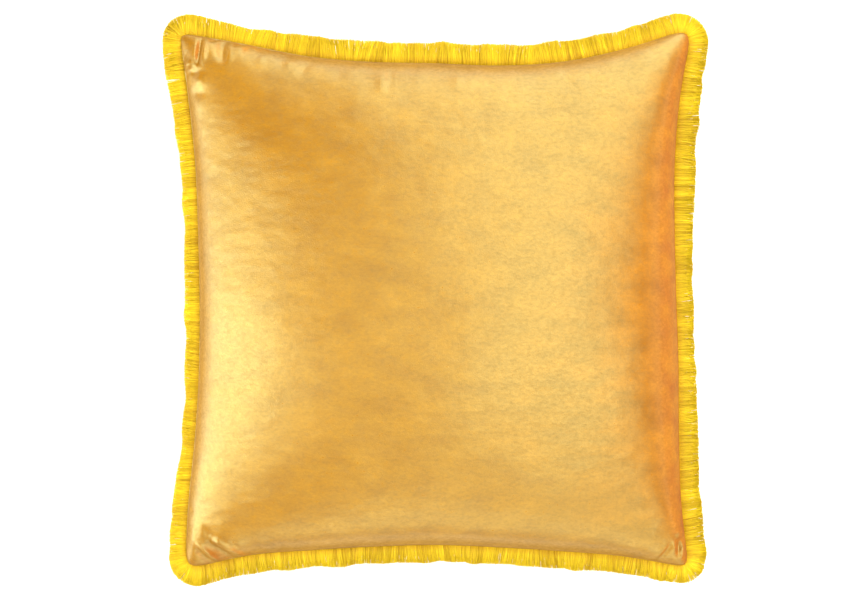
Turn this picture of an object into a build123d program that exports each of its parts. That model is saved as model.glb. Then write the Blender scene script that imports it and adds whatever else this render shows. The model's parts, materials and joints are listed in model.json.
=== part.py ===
from build123d import *

import os
from dataclasses import dataclass
from math import atan2, degrees, sqrt

# A square throw pillow: a fringed velvet cover with a concealed zip, over a fibre-filled insert.
#
# The pillow lies on its back. +Z is up, +X to the right and +Y towards the top edge of the face. The
# origin is the centre of the flat patch that it rests on. All lengths are in millimetres.
#
# The seam's four edges are shallow concave arcs joined by rounded corners, and the zip lies along the
# bottom one. A cross-section through an edge is drawn in a radial plane of its arc: "out" runs
# outwards from the seam line, and "up" is the height above the seam plane.

# ---- the sewn cover ----
HALF_WIDTH = 218.5  # centre to corner of the seam along X, before the corners are rounded
HALF_LENGTH = 227.5
SAGS = {"top": 26.0, "right": 14.0, "bottom": 18.0, "left": 16.0}  # how far each edge is drawn in
CORNER_R = 16.0
SEAM_HEIGHT = 54.0  # the seam plane above the surface that the pillow rests on
CROWN = 66.0  # the top of the face above the seam plane
FULL_RISE = 67.5  # where each half would close if it were not flattened
ROUNDNESS = 0.55
LEVELS = (0.0, 0.18, 0.42, 0.66, 0.86, 1.0)  # sections of each half, as shares of its height
STRAIGHTEST = 0.02  # the share of the seam's sags that is left at the top of each half
PANEL_T = 1.2  # velvet with its backing
ALLOWANCE = 12.0  # seam allowance, turned in
ALLOWANCE_T = 1.0

# ---- the fringe ----
HEADER_T = 2.0  # the woven heading that is sewn into the seam
FRINGE_LENGTH = 19.0
FRINGE_DROP = 1.0  # how far the tips hang below the roots
FRINGE_TIP_T = 3.2
FRINGE_GAP = 0.02  # degrees between one length of fringe and the next

# ---- the insert ----
INSERT_SLACK = 4.0  # between the cover and the insert
INSERT_REST = 0.2  # below the insert, where it lies on the cover
INSERT_EDGE = 18.0  # the insert's seam inside the cover's
CASING_T = 0.5
CASING_HEM = 4.4
FILLING_GAP = 0.2
OVERLOCK_T = 0.7

# ---- sewing thread and care label ----
THREAD = 0.4
STITCH_INSET = 9.0
LABEL_LENGTH, LABEL_DEPTH, LABEL_T = 30.0, 9.0, 0.3

# ---- the concealed zip ----
ZIP_LENGTH = 300.0
ZIP_MARGIN = 8.0  # the slot in the cover is this much longer at each end
ZIP_UP = -4.8  # the plane between the two tapes
COIL_R = 0.75
COIL_SPREAD = 0.8  # each coil's centre from the plane between the tapes
COIL_OUT = 1.0
TAPE_T = 0.5
TAPE_FLAT = 2.6  # the tape runs this far in before it turns towards its panel
TAPE_TURN = 2.2
TAPE_INSET = 11.5
STOP_LENGTH = 2.5
SLIDER_LENGTH = 8.0
SLIDER_WALL = 0.6
SLIDER_PLAY = 0.2
SLIDER_REST = 0.4  # from the slider to the end stop when the zip is closed
LUG_R, LUG_T = 1.1, 0.7
PIN_OUT = 4.1
PIN_R, PIN_PLAY = 0.55, 0.07
KNUCKLE_R, KNUCKLE_WIDTH, KNUCKLE_PLAY = 1.3, 2.2, 0.1
PULL_NECK, PULL_LENGTH, PULL_WIDTH, PULL_T, PULL_END_R = 1.7, 22.0, 3.6, 0.9, 1.2

os.makedirs("parts", exist_ok=True)


def save(builder, name):
    """Labels a finished piece and writes its STEP file."""
    builder.part.label = name
    export_step(builder.part, f"parts/{name}.step")


# ---- the seam line as arcs ----
@dataclass
class Arc:
    """A stretch of the seam about a vertical axis, between two angles from its own middle."""

    centre: Vector
    radius: float
    facing: float  # the direction of "out" at its middle, in degrees from +X
    concave: bool
    low: float = 0.0
    high: float = 0.0

    @property
    def axis(self):
        return Axis(self.centre, (0, 0, 1))

    def out_at(self, angle):
        return Vector(1, 0, 0).rotate(Axis.Z, self.facing + angle)

    def point(self, angle, inset=0.0):
        """The point at an angle, seen from above, and an inset from the seam line."""
        side = -1 if self.concave else 1
        return self.centre + self.out_at(angle) * (side * self.radius - inset)

    def section_plane(self, angle):
        """The radial plane at an angle: its x is "out" and its y is "up"."""
        out = self.out_at(angle)
        origin = self.point(angle) + Vector(0, 0, SEAM_HEIGHT)
        return Plane(origin=origin, x_dir=out, z_dir=out.cross(Vector(0, 0, 1)))

    def angle_of(self, point):
        """The angle at which a point lies along the arc."""
        away = (self.centre - point) if self.concave else (point - self.centre)
        return (degrees(atan2(away.Y, away.X)) - self.facing + 180) % 360 - 180

    def degrees_along(self, length):
        """The angle that a length of this arc takes."""
        return degrees(length / self.radius)


def seam_edge(name, facing, half_chord, reach):
    """A concave edge between two corners, which are reach from the pillow's centre line."""
    sag = SAGS[name]
    radius = (half_chord**2 + sag**2) / (2 * sag)
    return Arc(Vector(reach - sag + radius, 0).rotate(Axis.Z, facing), radius, facing, True)


def seam_corner(edge, following):
    """The rounded corner from an edge to the one that follows it anticlockwise. Both are trimmed to it."""
    reach_a, reach_b = edge.radius + CORNER_R, following.radius + CORNER_R
    between = following.centre - edge.centre
    along = (between.length**2 + reach_a**2 - reach_b**2) / (2 * between.length)
    aside = sqrt(reach_a**2 - along**2)
    line = between.normalized()
    crossings = [edge.centre + line * along + line.rotate(Axis.Z, turn) * aside for turn in (90, -90)]
    centre = min(crossings, key=lambda point: point.length)
    corner = Arc(centre, CORNER_R, edge.facing + 45, False)
    edge.low, following.high = edge.angle_of(centre), following.angle_of(centre)
    corner.low, corner.high = corner.angle_of(edge.centre), corner.angle_of(following.centre)
    return corner


EDGES = {
    "right": seam_edge("right", 0, HALF_LENGTH, HALF_WIDTH),
    "top": seam_edge("top", 90, HALF_WIDTH, HALF_LENGTH),
    "left": seam_edge("left", 180, HALF_LENGTH, HALF_WIDTH),
    "bottom": seam_edge("bottom", 270, HALF_WIDTH, HALF_LENGTH),
}
CORNERS = {
    "corner_top_right": seam_corner(EDGES["right"], EDGES["top"]),
    "corner_top_left": seam_corner(EDGES["top"], EDGES["left"]),
    "corner_bottom_left": seam_corner(EDGES["left"], EDGES["bottom"]),
    "corner_bottom_right": seam_corner(EDGES["bottom"], EDGES["right"]),
}
ZIP_EDGE = EDGES["bottom"]
ZIP_END = ZIP_EDGE.degrees_along(ZIP_LENGTH / 2)
SLOT_END = ZIP_EDGE.degrees_along(ZIP_LENGTH / 2 + ZIP_MARGIN)
# The zip's other panel edge mirrors the underside of the heading about the plane between the tapes.
SLOT_FLOOR = 2 * ZIP_UP + HEADER_T / 2


def revolve_along(arc, low, high, corners, mode=Mode.ADD):
    """The closed section through corners, swept along an arc from one angle to another."""
    with BuildSketch(arc.section_plane(low)) as section:
        with BuildLine():
            Polyline(*corners, close=True)
        make_face()
    revolve(section.sketch, axis=arc.axis, revolution_arc=high - low, mode=mode)


def rectangle(inner, outer, bottom, top):
    """The corners of a section from inner to outer and from bottom to top."""
    return (inner, bottom), (outer, bottom), (outer, top), (inner, top)


# ---- outlines seen from above ----
def outline(height, half_width, half_length, share, corner_r):
    """The seam's shape at another height and size, its edges drawn in by a share of the seam's sags."""
    with BuildSketch(Plane.XY.offset(height)) as shape:
        with BuildLine():
            right, left = half_width - share * SAGS["right"], share * SAGS["left"] - half_width
            top, bottom = half_length - share * SAGS["top"], share * SAGS["bottom"] - half_length
            ThreePointArc((half_width, -half_length), (right, 0), (half_width, half_length))
            ThreePointArc((half_width, half_length), (0, top), (-half_width, half_length))
            ThreePointArc((-half_width, half_length), (left, 0), (-half_width, -half_length))
            ThreePointArc((-half_width, -half_length), (0, bottom), (half_width, -half_length))
        make_face()
        fillet(shape.vertices(), corner_r)
    return shape.sketch


def inset_seam(inset):
    """The seam line drawn in evenly, by less than its corners' radius."""
    with BuildSketch() as shape:
        with BuildLine():
            for arc in (*EDGES.values(), *CORNERS.values()):
                middle = (arc.low + arc.high) / 2
                ThreePointArc(*(arc.point(angle, inset) for angle in (arc.low, middle, arc.high)))
        make_face()
    return shape.sketch


def seam_plate(inset, bottom, top):
    """A flat sheet with the shape of the inset seam, between two heights from the seam plane."""
    with BuildSketch(Plane.XY.offset(SEAM_HEIGHT + bottom)) as plate:
        add(inset_seam(inset))
    extrude(plate.sketch, amount=top - bottom)


def seam_ring(inner, outer, bottom, top, mode=Mode.ADD):
    """A flat ring along the seam, between two insets and two heights from the seam plane."""
    with BuildSketch(Plane.XY.offset(SEAM_HEIGHT + bottom)) as ring:
        add(inset_seam(outer))
        add(inset_seam(inner), mode=Mode.SUBTRACT)
    extrude(ring.sketch, amount=top - bottom, mode=mode)


def dome(up, base, top, edge_inset=0.0, inset=0.0, mode=Mode.ADD):
    """One half of the pillow, drawn in by a larger inset at the seam than over its body.

    It rises where up is 1 and falls where it is -1. Base and top are distances from the seam plane.
    """
    reach = CROWN if up > 0 else SEAM_HEIGHT
    drawn_in = sum(SAGS.values()) / len(SAGS)
    sections = []
    for level in LEVELS:
        closed = (level * reach / FULL_RISE) ** (1 / ROUNDNESS)
        middle, diagonal = sqrt(1 - closed), sqrt(1 - sqrt(closed))
        share = max((1 - level) ** 2, STRAIGHTEST)
        tuck = inset + (edge_inset - inset) * (1 - level) ** 4
        half_width = middle * (HALF_WIDTH - drawn_in) + share * drawn_in - tuck
        half_length = middle * (HALF_LENGTH - drawn_in) + share * drawn_in - tuck
        rounding = (middle - diagonal) / (1 - sqrt(0.5)) * (HALF_WIDTH - drawn_in)
        corner_r = min(max(rounding, CORNER_R - min(tuck, CORNER_R / 2)), 0.9 * half_width)
        height = SEAM_HEIGHT + up * (base + (top - base) * level)
        sections.append(outline(height, half_width, half_length, share, corner_r))
    loft(sections, mode=mode)


# ---- the cover: each panel is a dome, less the hollow that its turned-in allowances leave ----
RIM = HEADER_T / 2  # each panel starts at the face of the heading
with BuildPart() as front_hollow:
    dome(1, RIM, CROWN - PANEL_T, PANEL_T, PANEL_T)
    seam_ring(ALLOWANCE, 0, RIM, RIM + ALLOWANCE_T, mode=Mode.SUBTRACT)
with BuildPart() as front_panel:
    dome(1, RIM, CROWN)
    add(front_hollow.part, mode=Mode.SUBTRACT)
save(front_panel, "front_panel")

SLOT = rectangle(-ALLOWANCE - PANEL_T, COIL_OUT, SLOT_FLOOR, -RIM)
ZIP_ALLOWANCE = rectangle(-ALLOWANCE, COIL_OUT, SLOT_FLOOR - ALLOWANCE_T, SLOT_FLOOR)
with BuildPart() as back_hollow:
    dome(-1, RIM, SEAM_HEIGHT - PANEL_T, PANEL_T, PANEL_T)
    seam_ring(ALLOWANCE, 0, -RIM - ALLOWANCE_T, -RIM, mode=Mode.SUBTRACT)
    revolve_along(ZIP_EDGE, -SLOT_END, SLOT_END, ZIP_ALLOWANCE, mode=Mode.SUBTRACT)
with BuildPart() as back_panel:
    dome(-1, RIM, SEAM_HEIGHT)
    add(back_hollow.part, mode=Mode.SUBTRACT)
    revolve_along(ZIP_EDGE, -SLOT_END, SLOT_END, SLOT, mode=Mode.SUBTRACT)
save(back_panel, "back_panel")

with BuildPart() as fringe_header_tape:
    seam_ring(ALLOWANCE, 0, -RIM, RIM)
save(fringe_header_tape, "fringe_header_tape")

# ---- the fringe, in lengths that follow the edges and fan round the corners ----
tip_bottom, tip_top = -FRINGE_DROP - FRINGE_TIP_T / 2, -FRINGE_DROP + FRINGE_TIP_T / 2
fringe_section = (0, -RIM), (FRINGE_LENGTH, tip_bottom), (FRINGE_LENGTH, tip_top), (0, RIM)
for name, arc in {**EDGES, **CORNERS}.items():
    with BuildPart() as fringe:
        revolve_along(arc, arc.low + FRINGE_GAP, arc.high - FRINGE_GAP, fringe_section)
    save(fringe, f"fringe_{name}")

# ---- the closing seam's lockstitch: one thread on each face of the allowance ----
STITCH = STITCH_INSET + THREAD / 2, STITCH_INSET - THREAD / 2
with BuildPart() as seam_needle_thread:
    seam_ring(*STITCH, RIM + ALLOWANCE_T, RIM + ALLOWANCE_T + THREAD)
save(seam_needle_thread, "seam_needle_thread")

with BuildPart() as seam_bobbin_thread:
    seam_ring(*STITCH, -RIM - ALLOWANCE_T - THREAD, -RIM - ALLOWANCE_T)
    revolve_along(ZIP_EDGE, -SLOT_END, SLOT_END, SLOT, mode=Mode.SUBTRACT)
save(seam_bobbin_thread, "seam_bobbin_thread")

with BuildPart() as care_label:
    label_end = EDGES["left"].degrees_along(LABEL_LENGTH / 2)
    label_top = -RIM - ALLOWANCE_T - THREAD
    label_section = rectangle(-ALLOWANCE, LABEL_DEPTH - ALLOWANCE, label_top - LABEL_T, label_top)
    revolve_along(EDGES["left"], -label_end, label_end, label_section)
save(care_label, "care_label")

# ---- the zip's tapes, coils and stops ----
# Each side is drawn for the face's tape (towards = 1) and mirrored for the back's (towards = -1).
for name, towards in {"front": 1, "back": -1}.items():

    def up(distance):
        """A height on one side of the plane between the tapes."""
        return ZIP_UP + towards * distance

    panel = -RIM - ZIP_UP  # from that plane to the panel that the tape is sewn to
    level, upper = COIL_SPREAD - TAPE_T / 2, COIL_SPREAD + TAPE_T / 2
    turn, far = -TAPE_FLAT - TAPE_TURN, -TAPE_INSET
    with BuildPart() as tape:
        beside_coil = COIL_OUT - COIL_R
        lower_face = (beside_coil, up(level)), (-TAPE_FLAT, up(level)), (turn, up(panel - TAPE_T))
        upper_face = (turn, up(panel)), (-TAPE_FLAT, up(upper)), (beside_coil, up(upper))
        ends = (far, up(panel - TAPE_T)), (far, up(panel))
        revolve_along(ZIP_EDGE, -SLOT_END, SLOT_END, (*lower_face, *ends, *upper_face))
    save(tape, f"zip_tape_{name}")
    with BuildPart() as coil:
        chain_end = ZIP_END - ZIP_EDGE.degrees_along(STOP_LENGTH)
        with BuildSketch(ZIP_EDGE.section_plane(-chain_end)) as strand:
            with Locations((COIL_OUT, up(COIL_SPREAD))):
                Circle(COIL_R)
        revolve(strand.sketch, axis=ZIP_EDGE.axis, revolution_arc=2 * chain_end)
    save(coil, f"zip_coil_{name}")

CHANNEL = COIL_SPREAD + COIL_R + SLIDER_PLAY  # half the height inside the slider
SHELL = CHANNEL + SLIDER_WALL
MOUTH = COIL_SPREAD + TAPE_T / 2 + SLIDER_PLAY  # half the slot that the tapes run through
FACE_IN = COIL_OUT + COIL_R + SLIDER_PLAY
FACE_OUT = FACE_IN + SLIDER_WALL
LIP_OUT = COIL_OUT - COIL_R - SLIDER_PLAY
LIP_IN = LIP_OUT - SLIDER_WALL
with BuildPart() as zip_stops:
    clamped = rectangle(COIL_OUT - COIL_R, FACE_IN, ZIP_UP - SHELL + THREAD, ZIP_UP + SHELL - THREAD)
    revolve_along(ZIP_EDGE, chain_end, ZIP_END, clamped)
    revolve_along(ZIP_EDGE, -ZIP_END, -chain_end, clamped)
save(zip_stops, "zip_stops")

with BuildPart() as zip_stitching:
    seam_at = -(TAPE_INSET - TAPE_FLAT - TAPE_TURN) / 2 - TAPE_FLAT - TAPE_TURN
    below_heading, above_floor = -RIM - TAPE_T, SLOT_FLOOR + TAPE_T
    front_row = rectangle(seam_at - THREAD, seam_at, below_heading - THREAD, below_heading)
    back_row = rectangle(seam_at - THREAD, seam_at, above_floor, above_floor + THREAD)
    revolve_along(ZIP_EDGE, -ZIP_END, ZIP_END, front_row)
    revolve_along(ZIP_EDGE, -ZIP_END, ZIP_END, back_row)
save(zip_stitching, "zip_stitching")

# ---- the slider, closed at the left end, with its pull lying along the chain ----
slider_half = ZIP_EDGE.degrees_along(SLIDER_LENGTH / 2)
slider_at = chain_end - slider_half - ZIP_EDGE.degrees_along(SLIDER_REST)
pin_origin = ZIP_EDGE.section_plane(slider_at).from_local_coords((PIN_OUT, ZIP_UP, 0))
PIN_PLANE = Plane(origin=pin_origin, x_dir=ZIP_EDGE.section_plane(slider_at).x_dir, z_dir=(0, 0, 1))
with BuildPart() as zip_slider_body:
    # One side of the wrap-round section, from the mouth to the middle of the outer face.
    wrap = (LIP_IN, MOUTH), (LIP_IN, SHELL), (FACE_OUT, SHELL)
    channel = (FACE_IN, CHANNEL), (LIP_OUT, CHANNEL), (LIP_OUT, MOUTH)
    outside = [(out, ZIP_UP + up) for out, up in wrap] + [(out, ZIP_UP - up) for out, up in reversed(wrap)]
    inside = [(out, ZIP_UP - up) for out, up in reversed(channel)]
    inside += [(out, ZIP_UP + up) for out, up in channel]
    revolve_along(ZIP_EDGE, slider_at - slider_half, slider_at + slider_half, outside + inside)
    lug_from = KNUCKLE_WIDTH / 2 + KNUCKLE_PLAY
    for lug_bottom in (lug_from, -lug_from - LUG_T):
        with BuildSketch(PIN_PLANE.offset(lug_bottom)) as lug:
            Rectangle(PIN_OUT - FACE_OUT + THREAD / 2, 2 * LUG_R, align=(Align.MAX, Align.CENTER))
            Circle(LUG_R)
            Circle(PIN_R, mode=Mode.SUBTRACT)
        extrude(lug.sketch, amount=LUG_T)
save(zip_slider_body, "zip_slider_body")

with BuildPart() as zip_pull_pin:
    with BuildSketch(PIN_PLANE.offset(-lug_from - LUG_T)):
        Circle(PIN_R)
    extrude(amount=2 * (lug_from + LUG_T))
save(zip_pull_pin, "zip_pull_pin")

with BuildPart() as zip_pull_tab:
    with BuildSketch(PIN_PLANE.offset(-PULL_WIDTH / 2)):
        with Locations((0, PULL_NECK)):
            Rectangle(PULL_T, PULL_LENGTH - PULL_NECK, align=(Align.CENTER, Align.MIN))
    extrude(amount=PULL_WIDTH)
    across = zip_pull_tab.edges().filter_by(Axis(pin_origin, PIN_PLANE.x_dir))
    fillet(across.group_by(Axis(pin_origin, PIN_PLANE.y_dir))[-1], PULL_END_R)
    with BuildSketch(PIN_PLANE.offset(-KNUCKLE_WIDTH / 2)):
        Circle(KNUCKLE_R)
        Rectangle(PULL_T, PULL_NECK + THREAD, align=(Align.CENTER, Align.MIN))
    extrude(amount=KNUCKLE_WIDTH)
    with BuildSketch(PIN_PLANE.offset(-KNUCKLE_WIDTH / 2)):
        Circle(PIN_R + PIN_PLAY)
    extrude(amount=KNUCKLE_WIDTH, mode=Mode.SUBTRACT)
save(zip_pull_tab, "zip_pull_tab")

# ---- the insert ----
CASING_TOP = CROWN - PANEL_T - INSERT_SLACK
CASING_FLOOR = SEAM_HEIGHT - PANEL_T - INSERT_REST
BODY_INSET = PANEL_T + INSERT_SLACK
HEM_INSET = INSERT_EDGE - CASING_HEM
with BuildPart() as insert_casing_front:
    dome(1, 0, CASING_TOP, INSERT_EDGE, BODY_INSET)
    seam_plate(HEM_INSET, 0, CASING_T)
    dome(1, 0, CASING_TOP - CASING_T, INSERT_EDGE + CASING_T, BODY_INSET + CASING_T, mode=Mode.SUBTRACT)
save(insert_casing_front, "insert_casing_front")

with BuildPart() as insert_casing_back:
    dome(-1, 0, CASING_FLOOR, INSERT_EDGE, BODY_INSET)
    seam_plate(HEM_INSET, -CASING_T, 0)
    dome(-1, 0, CASING_FLOOR - CASING_T, INSERT_EDGE + CASING_T, BODY_INSET + CASING_T, mode=Mode.SUBTRACT)
save(insert_casing_back, "insert_casing_back")

with BuildPart() as insert_overlock:
    seam_ring(HEM_INSET, HEM_INSET - OVERLOCK_T, -CASING_T - THREAD / 2, CASING_T + THREAD / 2)
save(insert_overlock, "insert_overlock")

with BuildPart() as fibre_filling:
    core_edge, core_body = INSERT_EDGE + CASING_T + FILLING_GAP, BODY_INSET + CASING_T + FILLING_GAP
    dome(1, 0, CASING_TOP - CASING_T - FILLING_GAP, core_edge, core_body)
    dome(-1, 0, CASING_FLOOR - CASING_T - FILLING_GAP, core_edge, core_body)
save(fibre_filling, "fibre_filling")
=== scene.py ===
import json
import math

import bpy
import numpy as np
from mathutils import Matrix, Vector


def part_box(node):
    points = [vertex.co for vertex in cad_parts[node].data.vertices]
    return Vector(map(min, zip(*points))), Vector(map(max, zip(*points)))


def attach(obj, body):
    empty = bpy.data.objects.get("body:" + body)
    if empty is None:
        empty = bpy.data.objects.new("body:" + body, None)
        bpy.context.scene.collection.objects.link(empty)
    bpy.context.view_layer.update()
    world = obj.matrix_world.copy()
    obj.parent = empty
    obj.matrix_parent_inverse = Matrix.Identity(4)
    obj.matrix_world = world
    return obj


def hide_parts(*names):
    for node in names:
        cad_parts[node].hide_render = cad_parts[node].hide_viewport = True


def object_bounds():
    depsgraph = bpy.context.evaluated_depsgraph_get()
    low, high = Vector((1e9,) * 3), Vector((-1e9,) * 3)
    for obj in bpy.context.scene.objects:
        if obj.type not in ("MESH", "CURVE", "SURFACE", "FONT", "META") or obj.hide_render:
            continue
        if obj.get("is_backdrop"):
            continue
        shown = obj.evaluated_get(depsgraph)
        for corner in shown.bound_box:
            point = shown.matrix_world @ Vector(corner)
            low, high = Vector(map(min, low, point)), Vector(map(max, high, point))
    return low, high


# A square throw pillow that lies on its back: golden velvet, a yellow brush fringe in the seam, and a
# concealed zip along the bottom edge. +Z is up, +Y towards the top edge and +X to the right.
# Arrays hold metres. A panel of cloth is a grid of points, rows by columns by (x, y, z).

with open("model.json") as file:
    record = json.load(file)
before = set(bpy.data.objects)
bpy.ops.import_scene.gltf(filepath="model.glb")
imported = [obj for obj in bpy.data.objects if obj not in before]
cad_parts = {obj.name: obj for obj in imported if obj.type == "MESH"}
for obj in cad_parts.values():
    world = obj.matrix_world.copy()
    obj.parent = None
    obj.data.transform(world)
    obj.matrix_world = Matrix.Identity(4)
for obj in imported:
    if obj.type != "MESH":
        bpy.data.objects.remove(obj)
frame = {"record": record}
cad_low, cad_high = (np.array(corner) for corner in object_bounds())
MM = 0.001

heading_low, heading_high = (np.array(corner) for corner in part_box("fringe_header_tape"))
SEAM_Z = (heading_low[2] + heading_high[2]) / 2
HALF_HEADING = (heading_high[2] - heading_low[2]) / 2
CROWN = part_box("front_panel")[1].z - SEAM_Z
tape_low, tape_high = (np.array(corner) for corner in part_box("zip_tape_back"))
ZIP_HALF = (tape_high[0] - tape_low[0]) / 2  # of its reach along x
ZIP_LIP = tape_low[2]  # the back panel's edge where the zip is sewn to it

# The step along x and y from each corner of the heading's box to the seam's corner there, and how far each
# edge is drawn in at even steps along it, in millimetres, anticlockwise from the bottom left corner.
EARS = {
    "bottom_left": (2.0, -7.0), "bottom_right": (1.6, -5.2),
    "top_right": (5.0, 11.0), "top_left": (-2.9, 6.2),
}
DRAWN_IN = {
    "bottom": (0, 12.4, 16.5, 19.4, 20.6, 18.3, 14.7, 10.0, 0),
    "right": (0, 7.0, 9.3, 10.0, 12.4, 14.2, 14.5, 10.2, 0),
    "top": (0, 17.2, 28.2, 31.2, 28.6, 26.8, 21.6, 10.2, 0),
    "left": (0, 7.2, 12.6, 14.2, 15.0, 13.8, 9.8, 3.4, 0),
}
ROUNDING = 6.5 * MM  # the width that the whole loop is averaged over
WIDER_ROUNDING = 1.9 * ROUNDING
SOFTER = (0.8, 0.2, 1.0, 0.0)  # how far the wider rounding takes over at each corner
CORNER_EXTENT = 50 * MM  # and how far from the corner it does so
LOOP_STEP = 0.5 * MM
EDGE_SAMPLES = 1000  # along each edge before the loop is spaced evenly


# ---- curves ----
def curve_through(values, at):
    """A smooth curve through evenly spaced values, read at places from 0 to 1."""
    values = np.asarray(values, float)
    ends = np.concatenate([[2 * values[0] - values[1]], values, [2 * values[-1] - values[-2]]])
    place = np.asarray(at) * (len(values) - 1)
    k = np.clip(np.floor(place).astype(int), 0, len(values) - 2)
    part = place - k
    before, low, high, after = (ends[k + i] for i in range(4))
    square = 2 * before - 5 * low + 4 * high - after
    cube = 3 * low - before - 3 * high + after
    return 0.5 * (2 * low + (high - before) * part + square * part**2 + cube * part**3)


def blurred(loop, width):
    """A closed run of values or points, LOOP_STEP apart, averaged over a width."""
    spectrum = np.fft.rfft(loop, axis=0)
    per_metre = np.fft.rfftfreq(len(loop), LOOP_STEP)
    damping = np.exp(-2 * (math.pi * per_metre * width) ** 2)
    return np.fft.irfft(spectrum * damping.reshape(-1, *[1] * (loop.ndim - 1)), len(loop), axis=0)


def seam_loop():
    """The seam line, seen from above, as evenly spaced points, and the place of each corner along it."""
    box = {"left": heading_low[0], "right": heading_high[0],
           "bottom": heading_low[1], "top": heading_high[1]}
    corners = []
    for name, ear in EARS.items():
        upright, side = name.split("_")
        corners.append(np.array([box[side], box[upright]]) + np.array(ear) * MM)
    at = np.linspace(0, 1, EDGE_SAMPLES, endpoint=False)
    runs = []
    for k, depths in enumerate(DRAWN_IN.values()):
        start, end = corners[k], corners[(k + 1) % 4]
        along = end - start
        inward = np.array([-along[1], along[0]]) / np.linalg.norm(along)
        runs.append(start + at[:, None] * along + inward * curve_through(depths, at)[:, None] * MM)
    points = np.concatenate(runs)
    lengths = np.linalg.norm(np.roll(points, -1, axis=0) - points, axis=1)
    travelled = np.concatenate([[0], np.cumsum(lengths)])
    closed = np.concatenate([points, points[:1]])
    even = np.arange(0, travelled[-1], LOOP_STEP)
    loop = np.stack([np.interp(even, travelled, closed[:, axis]) for axis in (0, 1)], axis=1)
    sharp, soft = blurred(loop, ROUNDING), blurred(loop, WIDER_ROUNDING)
    softened = np.zeros((len(loop), 1))
    for corner, share in zip(corners, SOFTER):
        away = np.linalg.norm(loop - corner, axis=1)
        softened[:, 0] += share * np.exp(-((away / CORNER_EXTENT) ** 2))
    loop = sharp * (1 - softened) + soft * softened
    places = [int(np.argmin(np.linalg.norm(loop - corner, axis=1))) for corner in corners]
    return loop, places


SEAM, CORNER_AT = seam_loop()
SEAM_LENGTH = len(SEAM) * LOOP_STEP
tangents = np.roll(SEAM, -1, axis=0) - np.roll(SEAM, 1, axis=0)
TANGENT = tangents / np.linalg.norm(tangents, axis=1)[:, None]
OUTWARD = np.stack([TANGENT[:, 1], -TANGENT[:, 0]], axis=1)


def on_loop(values, place):
    """Values of the closed loop at places in metres along it."""
    k = np.asarray(place) / LOOP_STEP
    low = np.floor(k).astype(int)
    part = (k - low).reshape(-1, *[1] * (values.ndim - 1))
    return values[low % len(values)] * (1 - part) + values[(low + 1) % len(values)] * part


# ---- a panel of velvet as a grid, and the cloth simulation that gathers it at the seam ----
WIDTH, LENGTH = heading_high[0] - heading_low[0], heading_high[1] - heading_low[1]
CELLS = 210  # along each side of a panel
CROWDING = 0.38  # how much closer together the grid's lines lie near the seam, from 0 for even to 1
ROUNDNESS = 0.51  # power of the crown's profile: a smaller one is flatter on top and steeper at the seam


def stations(cells):
    """Places from 0 to 1 that lie closer together at the ends."""
    even = np.linspace(0, 1, cells + 1)
    return even - CROWDING * np.sin(2 * math.pi * even) / (2 * math.pi)


ACROSS, UPWARD = np.meshgrid(stations(CELLS), stations(CELLS))
# How much longer the cloth is than the seam it is sewn to, at even steps along each edge, from left to
# right or from bottom to top. The slack fades into the face, and the pillow's puckers come from it.
GATHER = {
    "bottom": (0.03, 0.005, 0.001, 0.003, 0.02),
    "top": (0.03, 0.008, 0.006, 0.007, 0.01),
    "left": (0.02, 0.0, 0.0, 0.0, 0.03),
    "right": (0.02, 0.0, 0.0, 0.0, 0.01),
}
GATHER_FADE = 14 * MM


def edge_between(first, last):
    """Seam points from one corner's place to another's, which may lie past the loop's end."""
    return on_loop(SEAM, (first + (last - first) * stations(CELLS)) * LOOP_STEP)


def flat_panel():
    """The panel's points in plan: a grid blended from the seam's four edges."""
    bottom_left, bottom_right, top_right, top_left = CORNER_AT
    bottom = edge_between(bottom_left, bottom_right)
    right = edge_between(bottom_right, top_right)
    top = edge_between(top_right, top_left)[::-1]
    left = edge_between(top_left, bottom_left + len(SEAM))[::-1]
    across, upward = ACROSS[..., None], UPWARD[..., None]
    ruled = (1 - upward) * bottom[None] + upward * top[None]
    ruled = ruled + (1 - across) * left[:, None] + across * right[:, None]
    low = (1 - across) * bottom[0] + across * bottom[-1]
    high = (1 - across) * top[0] + across * top[-1]
    return ruled - ((1 - upward) * low + upward * high)


def crown(rise):
    """The height of a full pillow over each point of the grid."""
    from_middle = (1 - (2 * ACROSS - 1) ** 2) * (1 - (2 * UPWARD - 1) ** 2)
    return rise * np.clip(from_middle, 0, 1) ** ROUNDNESS


def normals_of(grid):
    along = np.gradient(grid, axis=1)
    up = np.gradient(grid, axis=0)
    normal = np.cross(along, up)
    return normal / np.maximum(np.linalg.norm(normal, axis=-1, keepdims=True), 1e-12)


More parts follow.
